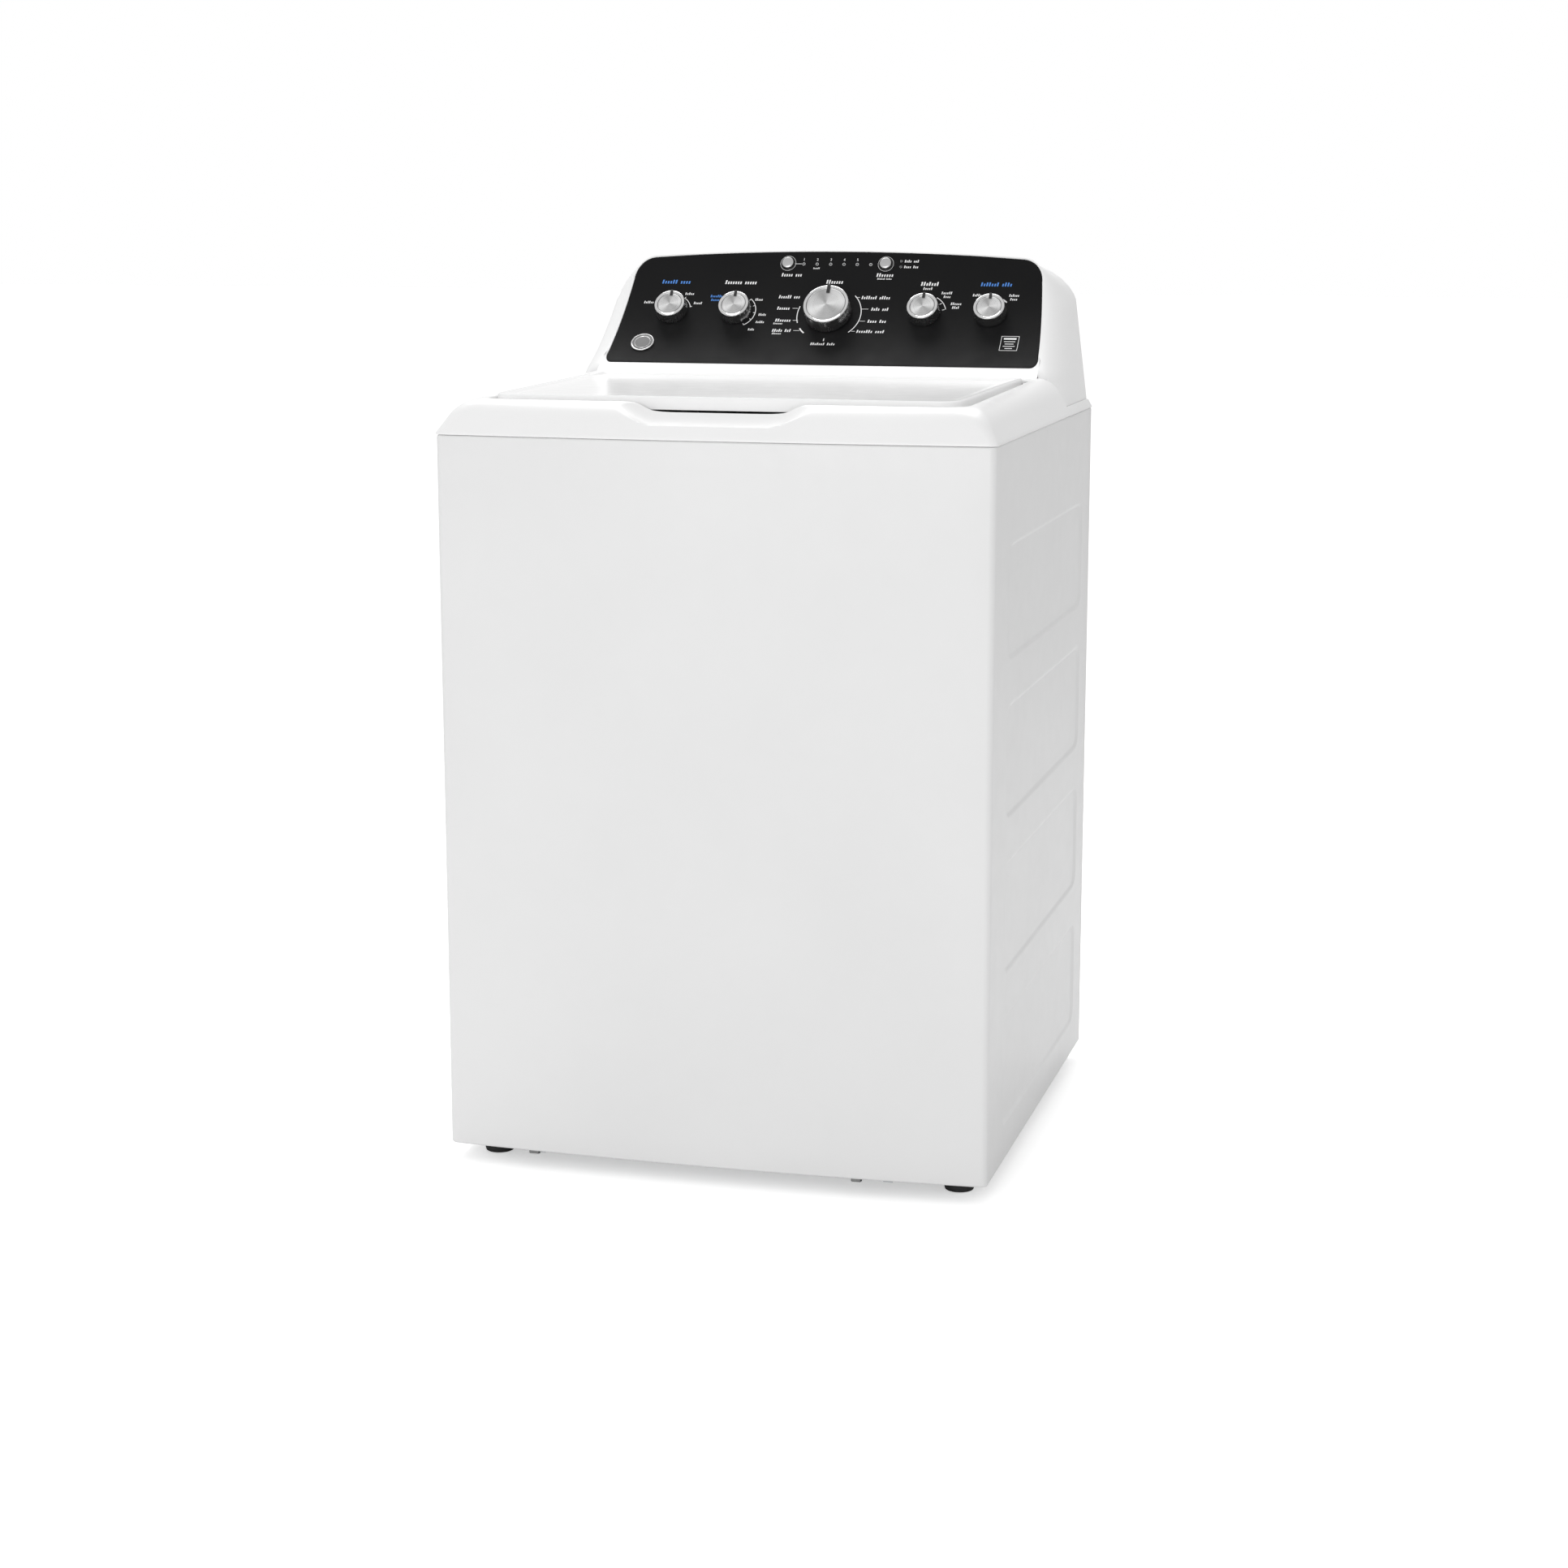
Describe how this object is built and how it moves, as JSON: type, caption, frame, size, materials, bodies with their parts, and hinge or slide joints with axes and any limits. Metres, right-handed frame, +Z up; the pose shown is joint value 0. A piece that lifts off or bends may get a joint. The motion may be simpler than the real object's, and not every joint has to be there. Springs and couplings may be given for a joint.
{
  "type": "top load washing machine",
  "caption": "Upright white laundry washer with a hinged top lid, a hollow black control face with turning knobs, and a suspended wash drum inside.",
  "frame": {"origin": "on the floor under the middle of the cabinet footprint", "axes": "+X to the machine's right seen from the front, +Y to its back, +Z up"},
  "size_m": [0.6886, 0.6924, 1.1164],
  "materials": {
    "white_enamel": "gloss",
    "white_plastic": "gloss",
    "lid_enamel": "high gloss",
    "galvanised_steel": "zinc coated",
    "black_fascia": "fine matt film",
    "knob_black": "gloss",
    "spun_silver": "spun face, bright rim",
    "button_silver": "fine satin",
    "lens_clear": "translucent",
    "badge_metal": "satin chrome",
    "board_green": "printed board",
    "switch_grey": "moulded",
    "black_rubber": "moulded",
    "grey_plastic": "moulded",
    "tub_plastic": "moulded, filled",
    "stainless": "brushed",
    "agitator_plastic": "moulded",
    "cast_aluminium": "as cast",
    "steel_dark": "oiled",
    "inlet_plastic": "moulded"
  },
  "bodies": {
    "cabinet": {"cabinet_wrap": "white_enamel", "cabinet_rear_panel": "galvanised_steel", "cabinet_braces": "galvanised_steel", "top_cover": "white_plastic", "console_housing": "white_plastic", "console_rear_cover": "white_plastic", "control_fascia": "black_fascia", "control_board": "board_green", "rotary_switches": "switch_grey", "indicator_lenses": "lens_clear", "emblem_disc": "badge_metal", "water_inlet_valve": "inlet_plastic", "fill_spout": "inlet_plastic", "drain_outlet": "switch_grey", "power_inlet_bushing": "switch_grey", "rear_screws": "galvanised_steel", "bleach_dispenser": "white_plastic", "suspension_rods": "steel_dark", "lid_lock_housing": "switch_grey"},
    "lid": {"lid_panel": "lid_enamel", "lid_liner": "white_plastic", "lid_hinge_pins": "steel_dark", "lid_bumpers": "black_rubber", "lid_strike": "steel_dark"},
    "lock_bolt": {"lid_lock_bolt": "steel_dark"},
    "wash_unit": {"outer_tub": "tub_plastic", "tub_ring": "tub_plastic", "hub_bearings": "steel_dark", "gearcase": "cast_aluminium", "drive_motor": "steel_dark", "drive_belt": "black_rubber", "drain_pump": "grey_plastic", "suspension_springs": "steel_dark", "drain_hose": "black_rubber"},
    "basket": {"wash_basket": "stainless", "basket_hub": "cast_aluminium", "balance_ring": "tub_plastic"},
    "agitator": {"agitator_base": "agitator_plastic", "agitator_column": "agitator_plastic", "drive_shaft": "steel_dark", "drive_pulley": "cast_aluminium"},
    "softener_cup": {"softener_dispenser": "agitator_plastic"},
    "rotor": {"motor_rotor": "steel_dark"},
    "impeller": {"pump_impeller": "grey_plastic"},
    "water_knob": {"water_knob": "knob_black", "water_knob_cap": "spun_silver"},
    "temperature_knob": {"temperature_knob": "knob_black", "temperature_knob_cap": "spun_silver"},
    "cycle_knob": {"cycle_knob": "knob_black", "cycle_knob_cap": "spun_silver"},
    "rinse_knob": {"rinse_knob": "knob_black", "rinse_knob_cap": "spun_silver"},
    "boost_knob": {"boost_knob": "knob_black", "boost_knob_cap": "spun_silver"},
    "deep_fill_button": {"deep_fill_button": "button_silver"},
    "start_button": {"start_button": "button_silver"},
    "front_left_foot": {"front_left_foot": "black_rubber"},
    "front_right_foot": {"front_right_foot": "black_rubber"},
    "rear_left_foot": {"rear_left_foot": "black_rubber"},
    "rear_right_foot": {"rear_right_foot": "black_rubber"}
  },
  "joints": [
    {"name": "lid_hinge", "type": "hinge", "parent": "cabinet", "child": "lid", "pos_m": [0, 0.119, 0.9487], "axis": [-1, 0, 0], "range_deg": [0, 98]},
    {"name": "lock_bolt_slide", "type": "slide", "parent": "cabinet", "child": "lock_bolt", "axis": [-1, 0, 0], "range_m": [0, 0.0138]},
    {"name": "tub_bounce", "type": "slide", "parent": "cabinet", "child": "wash_unit", "axis": [0, 0, 1], "range_m": [-0.015, 0.01], "stiffness_N_per_m": 20000, "springref_m": 0.01699, "deforming": ["suspension_springs", "drain_hose"]},
    {"name": "basket_spin", "type": "hinge", "parent": "wash_unit", "child": "basket", "pos_m": [0, -0.015, 0.3], "axis": [0, 0, 1], "continuous": true},
    {"name": "agitator_spin", "type": "hinge", "parent": "wash_unit", "child": "agitator", "pos_m": [0, -0.015, 0.3], "axis": [0, 0, 1], "continuous": true},
    {"name": "softener_lift", "type": "slide", "parent": "agitator", "child": "softener_cup", "axis": [0, 0, 1], "range_m": [0, 0.09]},
    {"name": "motor_spin", "type": "hinge", "parent": "wash_unit", "child": "rotor", "pos_m": [-0.175, -0.015, 0.136], "axis": [0, 0, 1], "continuous": true},
    {"name": "impeller_spin", "type": "hinge", "parent": "wash_unit", "child": "impeller", "pos_m": [0.15, -0.12, 0.205], "axis": [0, 0, 1], "continuous": true},
    {"name": "water_knob_turn", "type": "hinge", "parent": "cabinet", "child": "water_knob", "pos_m": [-0.2205, 0.24193, 1.0352], "axis": [0, -0.7753, 0.6316], "range_deg": [-90, 90]},
    {"name": "temperature_knob_turn", "type": "hinge", "parent": "cabinet", "child": "temperature_knob", "pos_m": [-0.1303, 0.24193, 1.0352], "axis": [0, -0.7753, 0.6316], "range_deg": [-75, 150]},
    {"name": "cycle_knob_turn", "type": "hinge", "parent": "cabinet", "child": "cycle_knob", "pos_m": [0, 0.23988, 1.0327], "axis": [0, -0.7693, 0.6389], "continuous": true},
    {"name": "rinse_knob_turn", "type": "hinge", "parent": "cabinet", "child": "rinse_knob", "pos_m": [0.1303, 0.24193, 1.0352], "axis": [0, -0.7753, 0.6316], "range_deg": [-60, 120]},
    {"name": "boost_knob_turn", "type": "hinge", "parent": "cabinet", "child": "boost_knob", "pos_m": [0.2205, 0.24193, 1.0352], "axis": [0, -0.7753, 0.6316], "range_deg": [-60, 60]},
    {"name": "deep_fill_button_press", "type": "slide", "parent": "cabinet", "child": "deep_fill_button", "axis": [0, 0.8953, -0.4455], "range_m": [0, 0.002], "stiffness_N_per_m": 600, "springref_m": -0.0008},
    {"name": "start_button_press", "type": "slide", "parent": "cabinet", "child": "start_button", "axis": [0, 0.8953, -0.4455], "range_m": [0, 0.002], "stiffness_N_per_m": 600, "springref_m": -0.0008},
    {"name": "front_left_foot_turn", "type": "hinge", "parent": "cabinet", "child": "front_left_foot", "pos_m": [-0.298, -0.275, 0.03], "axis": [0, 0, 1], "continuous": true},
    {"name": "front_right_foot_turn", "type": "hinge", "parent": "cabinet", "child": "front_right_foot", "pos_m": [0.298, -0.275, 0.03], "axis": [0, 0, 1], "continuous": true},
    {"name": "rear_left_foot_turn", "type": "hinge", "parent": "cabinet", "child": "rear_left_foot", "pos_m": [-0.298, 0.275, 0.03], "axis": [0, 0, 1], "continuous": true},
    {"name": "rear_right_foot_turn", "type": "hinge", "parent": "cabinet", "child": "rear_right_foot", "pos_m": [0.298, 0.275, 0.03], "axis": [0, 0, 1], "continuous": true}
  ],
  "couplings": [
    {"joint": "motor_spin", "follows": "agitator_spin", "ratio": 5}
  ]
}
